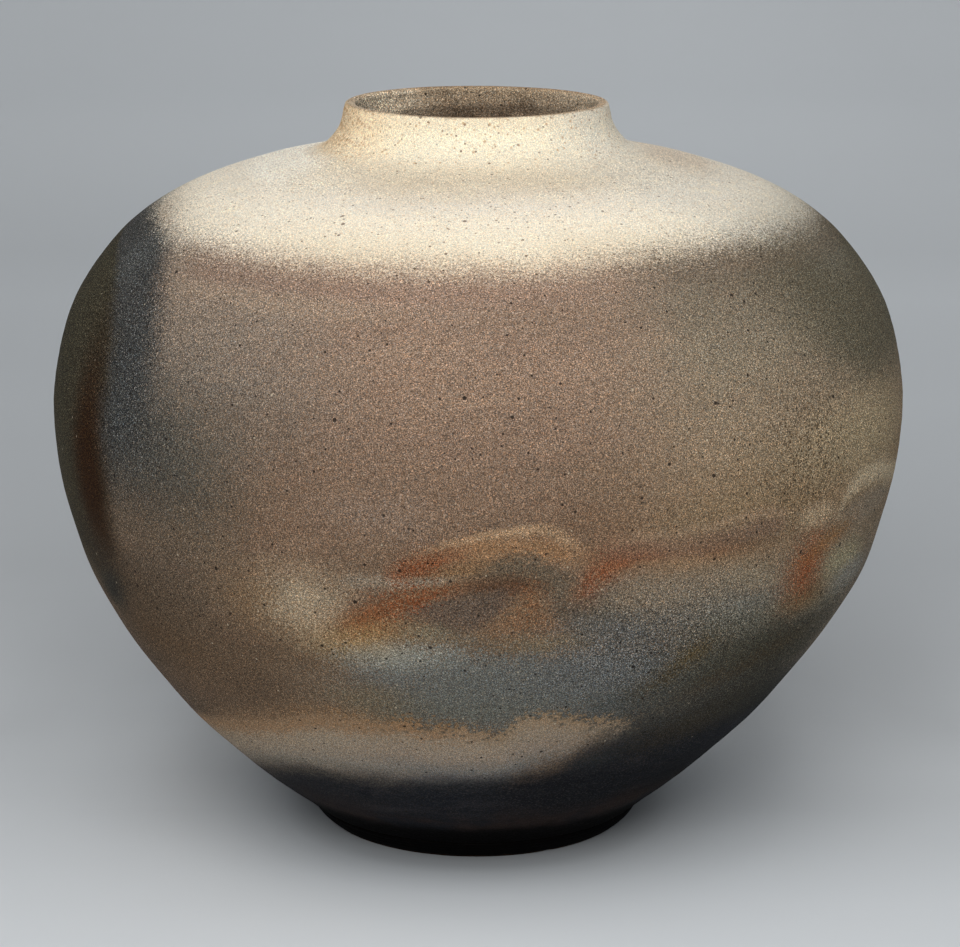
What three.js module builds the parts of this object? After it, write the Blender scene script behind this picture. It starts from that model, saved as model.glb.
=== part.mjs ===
// Large round-bellied stoneware jar with a short neck, in millimetres, +Z up.
// The jar stands on its foot ring; the origin is the centre of the foot's underside.
// It is made of the clay sections that a big jar is built from: a trimmed foot ring,
// a base slab, four thrown wall sections and a neck collar. Each section meets the next
// along a V-shaped luted joint: a ridge on the lower edge sits in a groove in the upper
// one, with a thin film of slip (the gap) between them.

import * as THREE from 'three';

// ---- driving dimensions ------------------------------------------------------------

const RIM_HEIGHT = 363.5;          // foot underside to lip crest
const FOOT_BOTTOM_RADIUS = 76.6;   // outer edge of the flat standing face
const FOOT_INNER_RADIUS = 65.5;    // inner edge of the flat standing face
const FOOT_TOP_RADIUS = 84.6;      // widest point of the flaring foot
const FOOT_HEIGHT = 10.0;          // standing face to the joint with the base slab
const FLOOR_TOP = 21.5;            // inside floor, at the middle of the jar

const SEAM_SLAB = 16.4;            // heights where the outer skin passes from
const SEAM_LOWER = 95.0;           // one clay section to the next
const SEAM_BELLY = 185.0;
const SEAM_UPPER = 272.0;
const SEAM_NECK = 340.2;

const SLIP_GAP = 0.3;              // slip film between luted edges
const LUTE_RIDGE = 2.6;            // height of the ridge on each luted edge
const LIP_START = 361.4;           // where the neck wall rolls over into the lip
const LIP_LAND = 1.4;              // width of the nearly flat crest of the lip

const FACETS = 48;                 // sides of every turned piece

// Outer skin from the foot notch to the lip: [radius, height].
const SKIN = [
  [86.0, 11.0], [94.6, 18.2], [103.9, 25.4], [116.8, 36.3], [132.3, 50.9],
  [146.0, 65.4], [158.2, 80.0], [169.2, 94.5], [179.0, 109.0], [187.3, 123.6],
  [194.2, 138.1], [199.7, 152.7], [203.8, 167.2], [206.8, 181.7], [208.9, 196.3],
  [209.95, 210.8], [210.0, 218.1], [209.7, 225.3], [207.7, 239.9], [204.0, 254.4],
  [198.4, 269.0], [190.0, 283.5], [178.0, 298.0], [169.9, 305.3], [159.8, 312.6],
  [146.5, 319.8], [129.0, 327.1], [114.4, 331.7], [99.0, 335.3], [87.0, 338.0],
  [78.6, 340.5], [74.4, 342.6], [72.0, 344.8], [69.6, 347.5], [67.5, 350.7],
  [65.9, 354.7], [65.0, 359.0], [64.4, 361.4],
];

// Wall thickness along the skin: [height on the outer skin, thickness].
const WALL = [
  [11.0, 11.0], [36.0, 10.0], [95.0, 9.5], [185.0, 8.5], [272.0, 8.0],
  [325.0, 7.5], [340.0, 7.0], [350.0, 6.0], [361.4, 5.0],
];

// ---- profile -----------------------------------------------------------------------

const skin = new THREE.CatmullRomCurve3(
  SKIN.map(([r, z]) => new THREE.Vector3(r, z, 0)), false, 'centripetal');
skin.arcLengthDivisions = 1200;

function wallThickness(z) {
  if (z <= WALL[0][0]) return WALL[0][1];
  for (let i = 1; i < WALL.length; i += 1) {
    const [z0, t0] = WALL[i - 1];
    const [z1, t1] = WALL[i];
    if (z <= z1) return t0 + (t1 - t0) * (z - z0) / (z1 - z0);
  }
  return WALL[WALL.length - 1][1];
}

// Arc-length position (0 to 1) where the outer skin reaches a height.
function atHeight(z) {
  let low = 0;
  let high = 1;
  for (let i = 0; i < 50; i += 1) {
    const mid = (low + high) / 2;
    if (skin.getPointAt(mid).y < z) low = mid; else high = mid;
  }
  return (low + high) / 2;
}

// Outer point, inner point and upward direction of the wall at a position.
function wallAt(u) {
  const p = skin.getPointAt(u);
  const t = skin.getTangentAt(u);
  const thick = wallThickness(p.y);
  return {
    outer: new THREE.Vector2(p.x, p.y),
    inner: new THREE.Vector2(p.x - t.y * thick, p.y + t.x * thick),
    along: new THREE.Vector2(t.x, t.y),
  };
}

// The three points of a luted edge, from the outer skin to the inner one. A shift of
// zero is the ridge on the lower section; the slip gap lifts it to the groove above.
function lutedEdge(u, shift) {
  const { outer, inner, along } = wallAt(u);
  const lift = along.clone().multiplyScalar(shift);
  const ridge = outer.clone().add(inner).multiplyScalar(0.5)
    .addScaledVector(along, LUTE_RIDGE);
  return [outer.clone().add(lift), ridge.add(lift), inner.clone().add(lift)];
}

function between(u0, u1, steps) {
  const list = [];
  for (let i = 1; i < steps; i += 1) list.push(u0 + (u1 - u0) * i / steps);
  return list;
}

// ---- turned pieces -----------------------------------------------------------------

function clay(color, roughness) {
  return new THREE.MeshStandardMaterial({ color, roughness, metalness: 0.0 });
}

function turned(name, points, color, roughness) {
  const geometry = new THREE.LatheGeometry(points, FACETS);
  geometry.rotateX(Math.PI / 2);
  const mesh = new THREE.Mesh(geometry, clay(color, roughness));
  mesh.name = name;
  return mesh;
}

const v = (r, z) => new THREE.Vector2(r, z);

// A ring of wall between two luted edges, as a loop: up the outside, down the inside.
function wallSection(name, zLow, zHigh, steps, color, roughness) {
  const u0 = atHeight(zLow);
  const u1 = atHeight(zHigh);
  const stations = between(u0, u1, steps).map(wallAt);
  const foot = lutedEdge(u0, SLIP_GAP);
  const head = lutedEdge(u1, 0);
  const loop = [
    foot[0],
    ...stations.map((s) => s.outer),
    head[0], head[1], head[2],
    ...stations.map((s) => s.inner).reverse(),
    foot[2], foot[1],
  ];
  loop.push(loop[0].clone());
  return turned(name, loop, color, roughness);
}

// Foot ring: flat standing face with eased edges, convex flaring side, and a ridge on
// top that locates it under the base slab.
const FOOT_RIDGE_RADIUS = 75.5;
const footLoop = [
  v(FOOT_BOTTOM_RADIUS, 0),
  v(FOOT_BOTTOM_RADIUS + 1.1, 0.9),
  v(79.4, 2.4),
  v(81.9, 5.0),
  v(83.7, 7.6),
  v(FOOT_TOP_RADIUS, 9.3),
  v(FOOT_TOP_RADIUS - 0.5, FOOT_HEIGHT),
  v(FOOT_RIDGE_RADIUS + 3.0, FOOT_HEIGHT),
  v(FOOT_RIDGE_RADIUS, FOOT_HEIGHT + 2.5),
  v(FOOT_RIDGE_RADIUS - 3.0, FOOT_HEIGHT),
  v(67.5, FOOT_HEIGHT),
  v(65.4, 8.0),
  v(64.4, 4.0),
  v(64.6, 1.0),
  v(FOOT_INNER_RADIUS, 0),
];
footLoop.push(footLoop[0].clone());
const footRing = turned('foot_ring', footLoop, 0x15110f, 0.62);

// Base slab: the disc of clay that the first wall is luted to. Its top runs in a soft
// curve from the wall to the floor, and its underside is recessed inside the foot ring.
const uSlab = atHeight(SEAM_SLAB);
const slabEdge = lutedEdge(uSlab, 0);
const underside = FOOT_HEIGHT + SLIP_GAP;
const slabProfile = [
  v(0, underside),
  v(FOOT_RIDGE_RADIUS - 3.3, underside),
  v(FOOT_RIDGE_RADIUS, underside + 2.6),
  v(FOOT_RIDGE_RADIUS + 3.3, underside),
  v(85.0, underside),
  ...[0, 0.5 * uSlab].map((u) => wallAt(u).outer),
  slabEdge[0], slabEdge[1], slabEdge[2],
  v(77.5, FLOOR_TOP + 1.0),
  v(66.0, FLOOR_TOP + 0.2),
  v(0, FLOOR_TOP),
];
const baseSlab = turned('base_slab', slabProfile, 0x2b231d, 0.8);

const lowerWall = wallSection('lower_wall', SEAM_SLAB, SEAM_LOWER, 7, 0x6b5d4f, 0.72);
const bellyWall = wallSection('belly_wall', SEAM_LOWER, SEAM_BELLY, 6, 0x7c6b59, 0.74);
const upperWall = wallSection('upper_wall', SEAM_BELLY, SEAM_UPPER, 6, 0x86735f, 0.76);
const shoulderDome = wallSection('shoulder_dome', SEAM_UPPER, SEAM_NECK, 11, 0xd9ccb0, 0.8);

// Neck collar: a short flaring collar that closes in to a thin rounded lip.
const uNeck = atHeight(SEAM_NECK);
const uLip = atHeight(LIP_START);
const neckStations = between(uNeck, uLip, 7).map(wallAt);
const neckFoot = lutedEdge(uNeck, SLIP_GAP);
const lip = wallAt(uLip);
const lipMiddle = (lip.outer.x + lip.inner.x) / 2;
const neckLoop = [
  neckFoot[0],
  ...neckStations.map((s) => s.outer),
  lip.outer,
  v(lip.outer.x - 0.6, LIP_START + 1.4),
  v(lipMiddle + LIP_LAND / 2, RIM_HEIGHT),
  v(lipMiddle - LIP_LAND / 2, RIM_HEIGHT),
  v(lip.inner.x + 0.6, LIP_START + 1.4),
  lip.inner,
  ...neckStations.map((s) => s.inner).reverse(),
  neckFoot[2], neckFoot[1],
];
neckLoop.push(neckLoop[0].clone());
const neckCollar = turned('neck_collar', neckLoop, 0xdccfae, 0.82);

// ---- assembly ----------------------------------------------------------------------

const jar = new THREE.Group();
jar.name = 'jar';
jar.add(footRing, baseSlab, lowerWall, bellyWall, upperWall, shoulderDome, neckCollar);

export default jar;
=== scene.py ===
import math

import bpy
import numpy as np
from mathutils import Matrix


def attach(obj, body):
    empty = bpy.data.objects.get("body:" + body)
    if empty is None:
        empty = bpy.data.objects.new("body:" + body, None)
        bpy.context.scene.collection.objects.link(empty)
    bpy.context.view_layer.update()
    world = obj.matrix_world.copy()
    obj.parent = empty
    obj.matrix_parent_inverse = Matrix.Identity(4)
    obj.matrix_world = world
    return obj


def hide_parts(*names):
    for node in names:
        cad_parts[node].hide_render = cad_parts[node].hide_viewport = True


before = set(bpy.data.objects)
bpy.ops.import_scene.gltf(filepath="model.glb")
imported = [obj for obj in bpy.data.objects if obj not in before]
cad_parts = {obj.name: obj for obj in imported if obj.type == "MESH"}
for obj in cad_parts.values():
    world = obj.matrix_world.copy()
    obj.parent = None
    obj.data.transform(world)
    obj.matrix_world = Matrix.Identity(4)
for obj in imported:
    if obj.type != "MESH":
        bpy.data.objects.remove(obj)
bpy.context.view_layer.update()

# ---------------------------------------------------------------------------
# Profile of the jar, in millimetres: [radius, height] from the foot notch to the lip
# ---------------------------------------------------------------------------

SKIN = [
    [86.0, 11.0], [94.6, 18.2], [103.9, 25.4], [116.8, 36.3], [132.3, 50.9],
    [146.0, 65.4], [158.2, 80.0], [169.2, 94.5], [179.0, 109.0], [187.3, 123.6],
    [194.2, 138.1], [199.7, 152.7], [203.8, 167.2], [206.8, 181.7], [208.9, 196.3],
    [209.95, 210.8], [210.0, 218.1], [209.7, 225.3], [207.7, 239.9], [204.0, 254.4],
    [198.4, 269.0], [190.0, 283.5], [178.0, 298.0], [169.9, 305.3], [159.8, 312.6],
    [146.5, 319.8], [129.0, 327.1], [114.4, 331.7], [99.0, 335.3], [87.0, 338.0],
    [78.6, 340.5], [74.4, 342.6], [72.0, 344.8], [69.6, 347.5], [67.5, 350.7],
    [65.9, 354.7], [65.0, 359.0], [64.4, 361.4],
]
WALL = [
    [11.0, 11.0], [36.0, 10.0], [95.0, 9.5], [185.0, 8.5], [272.0, 8.0],
    [325.0, 7.5], [340.0, 7.0], [350.0, 6.0], [361.4, 5.0],
]
SEAMS = {"slab": 16.4, "lower": 95.0, "belly": 185.0, "upper": 272.0, "neck": 340.2}
RIM = 363.5
FLOOR_TOP = 21.5
COLUMNS = 480


def smooth_curve(points, steps=24):
    """Centripetal Catmull-Rom curve through the points, as a dense polyline."""
    p = np.array(points, float)
    p = np.vstack([2 * p[0] - p[1], p, 2 * p[-1] - p[-2]])
    out = []
    t = np.linspace(0, 1, steps, endpoint=False)[:, None]
    for i in range(1, len(p) - 2):
        p0, p1, p2, p3 = p[i - 1:i + 3]
        d0, d1, d2 = (((a - b) ** 2).sum() ** 0.25 for a, b in ((p0, p1), (p1, p2), (p2, p3)))
        t1 = ((p1 - p0) / d0 - (p2 - p0) / (d0 + d1) + (p2 - p1) / d1) * d1
        t2 = ((p2 - p1) / d1 - (p3 - p1) / (d1 + d2) + (p3 - p2) / d2) * d1
        out.append(p1 + t1 * t + (-3 * p1 + 3 * p2 - 2 * t1 - t2) * t ** 2
                   + (2 * p1 - 2 * p2 + t1 + t2) * t ** 3)
    out.append(p[-2][None])
    return np.vstack(out)


line = smooth_curve(SKIN)
line_s = np.concatenate([[0], np.cumsum(np.hypot(*np.diff(line, axis=0).T))])
line_t = np.gradient(line, line_s, axis=0)
line_t /= np.hypot(*line_t.T)[:, None]
S_LIP = line_s[-1]


def along(s):
    """Outer radius and height, and the wall's upward direction, at arc length s."""
    r, z = np.interp(s, line_s, line[:, 0]), np.interp(s, line_s, line[:, 1])
    tr, tz = np.interp(s, line_s, line_t[:, 0]), np.interp(s, line_s, line_t[:, 1])
    n = np.hypot(tr, tz)
    return r, z, tr / n, tz / n


def s_at(z):
    return float(np.interp(z, line[:, 1], line_s))


def thickness(z):
    w = np.array(WALL)
    return np.interp(z, w[:, 0], w[:, 1])


# ---------------------------------------------------------------------------
# Hand-made irregularities: the axis wanders, the wall is a little out of round,
# and the potter's fingers and ribs leave faint turning marks
# ---------------------------------------------------------------------------

theta = np.arange(COLUMNS) / COLUMNS * 2 * math.pi - math.pi   # 0 faces -Y, + towards +X
WANDER = np.array([
    [0, -0.8], [12, -1.1], [35, -1.5], [60, -1.7], [100, -1.2], [120, -0.6], [140, 0.0], [152, -0.1], [170, -0.3],
    [200, 0.1], [235, 0.5], [290, 0.7], [325, 0.4], [345, -0.3], [363.5, -0.5],
])


def wander(z):
    zz = np.linspace(0, RIM, 400)
    x = np.interp(zz, WANDER[:, 0], WANDER[:, 1])
    k = np.exp(-np.linspace(-2, 2, 41) ** 2)
    x = np.convolve(np.pad(x, 20, mode="edge"), k / k.sum(), mode="valid")
    return np.interp(z, zz, x)


def bump_at(s, at, width):
    return math.exp(-((s - at) / width) ** 2)


def outer_relief(s, z):
    """Height of the outer skin above the smooth profile, in millimetres, for each column."""
    t = theta
    turn = t / (2 * math.pi)
    rings = 0.030 * np.sin(2 * math.pi * (s / 6.1 + turn) + 0.8 * np.sin(2 * t + s / 23))
    rings += 0.035 * np.sin(2 * math.pi * (s / 13.7 + turn) + 1.1 + 0.6 * np.sin(t + s / 41))
    rings *= 0.55 + 0.45 * math.sin(s / 37 + 0.7)
    slow = 0.16 * math.sin(2 * math.pi * s / 71 + 0.4) + 0.10 * math.sin(2 * math.pi * s / 43 + 2.0)
    round_ = 0.30 * np.cos(2 * t + 0.9 + s / 260) + 0.16 * np.cos(3 * t - 0.4 + s / 150)
    lumps = 0.07 * np.sin(5 * t + s / 19) * np.sin(s / 27 + 1.2) + 0.05 * np.sin(9 * t - s / 15 + 2.0)
    slow += 0.40 * bump_at(z, 142.0, 14.0) + 0.38 * bump_at(z, 212.0, 34.0)
    ridge = 0.22 * (math.tanh((s_at(334.2) - s) / 2.2) * bump_at(s, s_at(334.2), 9.0))
    fade = min(1.0, max(0.0, (z - 9.0) / 25.0))
    return (rings + slow + round_ + lumps) * fade + ridge


def inner_relief(s):
    t = theta
    turn = t / (2 * math.pi)
    return (0.35 * np.sin(2 * math.pi * (s / 11.0 + turn) + 0.5 * np.sin(t + s / 30))
            + 0.15 * np.sin(2 * math.pi * (s / 4.7 + turn)))


def ring(r, z):
    """One ring of points; r and z are numbers or one value per column."""
    r = np.broadcast_to(r, theta.shape)
    z = np.broadcast_to(z, theta.shape)
    return np.stack([r * np.sin(theta) + wander(z), -r * np.cos(theta), z], 1)


def outer_ring(s):
    r, z, tr, tz = along(s)
    h = outer_relief(s, float(z))
    return ring(r + tz * h, z - tr * h)


def inner_ring(s, relief=1.0):
    r, z, tr, tz = along(s)
    h = thickness(z) + relief * inner_relief(s)
    return ring(r - tz * h, z + tr * h)


def between_ring(s, share, lift):
    """A hidden ring in the joint: a share of the way from the outer skin to the inner."""
    r, z, tr, tz = along(s)
    h = share * thickness(z)
    return ring(r - tz * h + tr * lift, z + tr * h + tz * lift)


# ---------------------------------------------------------------------------
# Mesh building: a piece is a closed loop of rings, in bands with their own map strips
# ---------------------------------------------------------------------------

def make_piece(name, node, bands, closed=True):
    """bands: (kind, rings, strips, share of the map's height). A band's last ring is the
    next band's first, so each band lists its first ring and not its last."""
    rings, kinds, first = [], [], []
    for kind, members, strips, share in bands:
        first.append(len(rings))
        rings += members
    total = len(rings)
    verts = np.concatenate(rings) * 0.001
    n = COLUMNS
    j = np.arange(n)
    j1 = (j + 1) % n
    faces, uvs, sharp_rings = [], [], set()
    inside_of = []
    v_at = 0.0
    pad = 0.004
    for b, (kind, members, strips, share) in enumerate(bands):
        start = first[b]
        stop = first[b + 1] if b + 1 < len(bands) else (total if closed else total - 1)
        rows = list(range(start, stop + 1))
        if kind == "joint":
            sharp_rings.add(start % total)
            sharp_rings.add(stop % total)
        mid = [rings[i % total].mean(0) for i in rows]
        rad = [np.hypot(rings[i % total][:, 0] - mid[k][0], rings[i % total][:, 1]).mean() for k, i in enumerate(rows)]
        hgt = [m[2] for m in mid]
        arc = np.concatenate([[0], np.cumsum(np.hypot(np.diff(rad), np.diff(hgt)))])
        arc = arc / max(arc[-1], 1e-9)
        strip_h = share / strips
        cols = n // strips
        strip = j // cols
        lane = j % cols
        u0 = pad + (1 - 2 * pad) * lane / cols
        u1 = pad + (1 - 2 * pad) * (lane + 1) / cols
        for k in range(len(rows) - 1):
            a, c = rows[k] % total, rows[k + 1] % total
            faces.append(np.stack([a * n + j, a * n + j1, c * n + j1, c * n + j], 1))
            va = v_at + strip * strip_h + pad + (strip_h - 2 * pad) * arc[k]
            vc = v_at + strip * strip_h + pad + (strip_h - 2 * pad) * arc[k + 1]
            uvs.append(np.stack([np.stack([u0, va], 1), np.stack([u1, va], 1),
                                 np.stack([u1, vc], 1), np.stack([u0, vc], 1)], 1))
        v_at += share
    faces = np.concatenate(faces)
    uvs = np.concatenate(uvs)
    caps = []
    if not closed:   # the loop starts and ends near the axis: close each end with a small fan
        verts = np.vstack([verts, rings[0].mean(0) * 0.001, rings[-1].mean(0) * 0.001])
        lo, hi = total * n, total * n + 1
        caps = [(lo, int(b), int(a)) for a, b in zip(j, j1)]
        last = (total - 1) * n
        caps += [(hi, last + int(a), last + int(b)) for a, b in zip(j, j1)]
    mesh = bpy.data.meshes.new(name)
    mesh.from_pydata(verts.tolist(), [], faces.tolist() + caps)
    layer = mesh.uv_layers.new(name="OFBake")
    flat = uvs.reshape(-1, 2)
    if caps:
        tail = []
        for k, f in enumerate(caps):
            tail += [(0.980 + 0.012 * (k % 2), 0.980), (0.984 + 0.012 * (k % 2), 0.980), (0.982 + 0.012 * (k % 2), 0.990)]
        flat = np.vstack([flat, tail])
    layer.data.foreach_set("uv", flat.astype(np.float32).ravel())
    mesh.polygons.foreach_set("use_smooth", [True] * len(mesh.polygons))
    if sharp_rings:
        ev = np.empty(len(mesh.edges) * 2, int)
        mesh.edges.foreach_get("vertices", ev)
        ev = ev.reshape(-1, 2)
        ring_of = ev // n
        level = (ring_of[:, 0] == ring_of[:, 1]) & np.isin(ring_of[:, 0], sorted(sharp_rings))
        mesh.attributes.new("sharp_edge", "BOOLEAN", "EDGE").data.foreach_set("value", level)
    deep = np.zeros(len(verts), np.float32)
    for b, (kind, members, strips, share) in enumerate(bands):
        for k in range(len(members)):
            hidden = kind == "inner" or (kind == "joint" and (k > 0 or bands[b - 1][0] == "inner"))
            part = min(1.0, max(0.0, (k - 3.0) / 3.0)) if kind == "lip" else float(hidden)
            deep[(first[b] + k) * n:(first[b] + k + 1) * n] = part
    deep[total * n:] = 1.0
    mesh.attributes.new("inside", "FLOAT", "POINT").data.foreach_set("value", deep)
    mesh.update()
    ob = bpy.data.objects.new(name, mesh)
    bpy.context.scene.collection.objects.link(ob)
    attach(ob, "root")
    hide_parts(node)
    return ob


def spaced(s0, s1, step):
    """Arc lengths from s0 up to, but not including, s1."""
    n = max(2, int(round((s1 - s0) / step)))
    return list(s0 + (s1 - s0) * np.arange(n) / n)


def top_joint(s):
    return [outer_ring(s), between_ring(s, 0.12, -0.15), between_ring(s, 0.5, 2.45), between_ring(s, 0.9, -0.15)]


def bottom_joint(s):
    return [inner_ring(s), between_ring(s, 0.9, 0.15), between_ring(s, 0.5, 2.75), between_ring(s, 0.12, 0.15)]


def wall_piece(name, node, z0, z1, step, strips, outer_share):
    s0, s1 = s_at(z0), s_at(z1)
    out = [outer_ring(s) for s in spaced(s0, s1, step)]
    inn = [inner_ring(s) for s in [s1] + spaced(s0, s1, step * 2)[:0:-1]]
    return make_piece(name, node, [
        ("outer", out, strips, outer_share),
        ("joint", top_joint(s1), 1, 0.03),
        ("inner", inn, 2, 0.94 - outer_share),
        ("joint", bottom_joint(s0), 1, 0.03),
    ])


pieces = []
pieces.append(wall_piece("lower_wall_skin", "lower_wall", SEAMS["slab"], SEAMS["lower"], 1.6, 3, 0.74))
pieces.append(wall_piece("belly_wall_skin", "belly_wall", SEAMS["lower"], SEAMS["belly"], 1.6, 3, 0.74))
pieces.append(wall_piece("upper_wall_skin", "upper_wall", SEAMS["belly"], SEAMS["upper"], 1.6, 3, 0.74))
pieces.append(wall_piece("shoulder_dome_skin", "shoulder_dome", SEAMS["upper"], SEAMS["neck"], 1.5, 2, 0.78))

# Neck collar with its rolled lip
s0 = s_at(SEAMS["neck"])
r_o, z_o, tr_o, tz_o = along(S_LIP)
lip_half = 2.55
lip_mid = float(r_o) - lip_half
lip_rise = RIM - float(z_o)


def lip_ring(a):
    """a runs from 0 at the outside of the lip to pi at the inside."""
    sway = 0.25 * np.sin(theta * 2 + 0.6) + 0.15 * np.sin(theta * 3 + 2.1) + 0.06 * np.sin(theta * 11)
    r = lip_mid + lip_half * math.copysign(abs(math.cos(a)) ** 0.85, math.cos(a))
    h = outer_relief(S_LIP, float(z_o)) if a < math.pi / 2 else 0.0
    w = abs(math.cos(a)) ** 2
    dip = 0.55 * np.exp(-(theta / 0.9) ** 2)
    return ring(r + w * h, float(z_o) + (lip_rise - 0.2 - dip) * math.sin(a) ** 0.8 + 0.35 * sway * math.sin(a))


neck_s = spaced(s0, S_LIP, 0.85)
out = [outer_ring(s) for s in neck_s]
lip = [outer_ring(S_LIP)] + [lip_ring(a) for a in np.linspace(0, math.pi, 15)[1:-1]]
inn = [inner_ring(S_LIP, 0.3)] + [inner_ring(s, 0.6) for s in neck_s[:0:-1]]
pieces.append(make_piece("neck_collar_skin", "neck_collar", [
    ("outer", out, 3, 0.46),
    ("lip", lip, 2, 0.16),
    ("inner", inn, 3, 0.32),
    ("joint", bottom_joint(s0), 1, 0.05),
]))

# Base slab, with the floor inside the jar and the recess under it
s1 = s_at(SEAMS["slab"])
slab_under = [(78.8, 10.3), (75.5, 12.9), (72.2, 10.3), (66.0, 10.35), (50.0, 10.6), (30.0, 10.9), (12.0, 11.0), (2.0, 11.0)]
under = [ring(r, z) for r, z in slab_under[::-1]]
edge = [ring(82.5, 10.3), ring(85.3, 10.45)] + [outer_ring(s) for s in spaced(0.0, s1, 0.9)]
floor_pts = smooth_curve([[77.5, FLOOR_TOP + 1.0], [66.0, FLOOR_TOP + 0.2], [45.0, FLOOR_TOP + 0.1], [20.0, FLOOR_TOP], [2.0, FLOOR_TOP]], 6)
floor_rings = [inner_ring(s1)] + [ring(r, z + 0.25 * np.sin(2 * math.pi * (r / 9.0 + theta / (2 * math.pi)))) for r, z in floor_pts]
pieces.append(make_piece("base_slab_skin", "base_slab", [
    ("inner", under, 1, 0.40),
    ("outer", edge, 2, 0.14),
    ("joint", top_joint(s1), 1, 0.04),
    ("inner", floor_rings, 1, 0.38),
], closed=False))

# Foot ring: trimmed, flaring, with an eased and slightly chipped standing edge
foot_side = smooth_curve([[76.9, 0.25], [77.8, 0.95], [79.4, 2.3], [81.8, 4.9], [83.6, 7.5], [84.5, 9.1]], 6)
foot_top = [[84.4, 9.7], [83.9, 10.0], [78.5, 10.0], [75.5, 12.5], [72.5, 10.0], [67.5, 10.0]]
foot_in = [[66.2, 9.4], [65.3, 8.0], [64.4, 4.0], [64.5, 1.2], [65.0, 0.4], [65.9, 0.0]]


def chip(r, z):
    """A small flake missing from the standing edge."""
    d = ((theta - math.radians(27.5)) * 77 / 2.6) ** 2 + ((z - 0.4) / 1.3) ** 2
    return -0.8 * np.exp(-d)


def foot_ring_at(r, z):
    turn = 0.07 * np.sin(2 * math.pi * (z / 1.9 + theta / (2 * math.pi))) + 0.10 * np.sin(3 * theta + z) + 0.12 * np.sin(2 * theta + 1.0)
    free = min(1.0, z / 0.6)
    return ring(r + turn * free + chip(r, z), z)


side = [foot_ring_at(76.0, 0.0)] + [foot_ring_at(r, z) for r, z in foot_side]
pieces.append(make_piece("foot_ring_skin", "foot_ring", [
    ("outer", side, 3, 0.45),
    ("inner", [ring(r, z) for r, z in foot_top], 2, 0.20),
    ("inner", [ring(r, z) for r, z in foot_in[:-1]], 2, 0.20),
    ("inner", [ring(r, z) for r, z in foot_in[-1:]], 2, 0.13),
]))

# ---------------------------------------------------------------------------
# Material: kiln-flashed stoneware. Everything is drawn by nodes from the object's own
# coordinates: the angle round the jar (degrees, 0 facing -Y, + towards +X), the height in
# millimetres, and several noises. Fire and ash leave soft clouds and streaks, so each is
# an ellipse or a line in angle and height, bent by noise and broken up into dust by the
# clay's grain.
# ---------------------------------------------------------------------------

stone = bpy.data.materials.new("flashed_stoneware")
stone.use_nodes = True
nt = stone.node_tree
nodes, links = nt.nodes, nt.links
shader = nodes["Principled BSDF"]


class V:
    """A number in the node tree, with the usual arithmetic. Each node is made after the
    nodes that feed it, and equal sums are made once, which keeps the shader's working
    memory small."""

    made = {}

    def __init__(self, socket):
        self.socket = socket

    def __add__(self, o): return calc("ADD", self, o)
    __radd__ = __add__
    def __sub__(self, o): return calc("SUBTRACT", self, o)
    def __rsub__(self, o): return calc("SUBTRACT", o, self)
    def __mul__(self, o): return calc("MULTIPLY", self, o)
    __rmul__ = __mul__
    def __truediv__(self, o): return calc("DIVIDE", self, o)


def feed(value, socket):
    if isinstance(value, V):
        links.new(value.socket, socket)
    elif value is not None:
        socket.default_value = value


def calc(op, a, b=None, c=None):
    key = (op, a, b, c)
    if key not in V.made:
        n = nodes.new("ShaderNodeMath")
        n.operation = op
        for value, socket in zip((a, b, c), n.inputs):
            feed(value, socket)
        V.made[key] = V(n.outputs[0])
    return V.made[key]


def high(a, b): return calc("MAXIMUM", a, b)
def mad(a, b, c): return calc("MULTIPLY_ADD", a, b, c)
def size_of(a): return calc("ABSOLUTE", a)


def step(a, b, x, share=1.0):
    """Smooth step: 0 at a and share at b, whichever of a and b is larger."""
    key = ("step", a, b, x, share)
    if key not in V.made:
        n = nodes.new("ShaderNodeMapRange")
        n.interpolation_type = "SMOOTHSTEP"
        n.clamp = False
        feed(x, n.inputs["Value"])
        up = a < b
        n.inputs["From Min"].default_value, n.inputs["From Max"].default_value = (a, b) if up else (b, a)
        n.inputs["To Min"].default_value, n.inputs["To Max"].default_value = (0, share) if up else (share, 0)
        V.made[key] = V(n.outputs[0])
    return V.made[key]


def vec(op, a, b=None, scale=None):
    n = nodes.new("ShaderNodeVectorMath")
    n.operation = op
    for k, value in enumerate((a, b)):
        if isinstance(value, V):
            links.new(value.socket, n.inputs[k])
        elif value is not None:
            n.inputs[k].default_value = value
    if scale is not None:
        feed(scale, n.inputs["Scale"])
    return V(n.outputs["Value"] if op in ("LENGTH", "DOT_PRODUCT") else n.outputs[0])


def combine(x, y, z=0.0):
    n = nodes.new("ShaderNodeCombineXYZ")
    for value, socket in zip((x, y, z), n.inputs):
        feed(value, socket)
    return V(n.outputs[0])


def noise(where, period, detail=2.0, rough=0.5, shift=(0, 0, 0), three=False):
    """Smooth noise about 0, mostly within a quarter; where is in millimetres.
    three gives three independent noises."""
    moved = vec("ADD", where, shift) if any(shift) else where
    n = nodes.new("ShaderNodeTexNoise")
    links.new(moved.socket, n.inputs["Vector"])
    n.inputs["Scale"].default_value = 1.0 / period
    n.inputs["Detail"].default_value = detail
    n.inputs["Roughness"].default_value = rough
    if not three:
        return V(n.outputs[0]) - 0.5
    split = nodes.new("ShaderNodeSeparateColor")
    links.new(n.outputs["Color"], split.inputs[0])
    return [V(o) - 0.5 for o in split.outputs]


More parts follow.
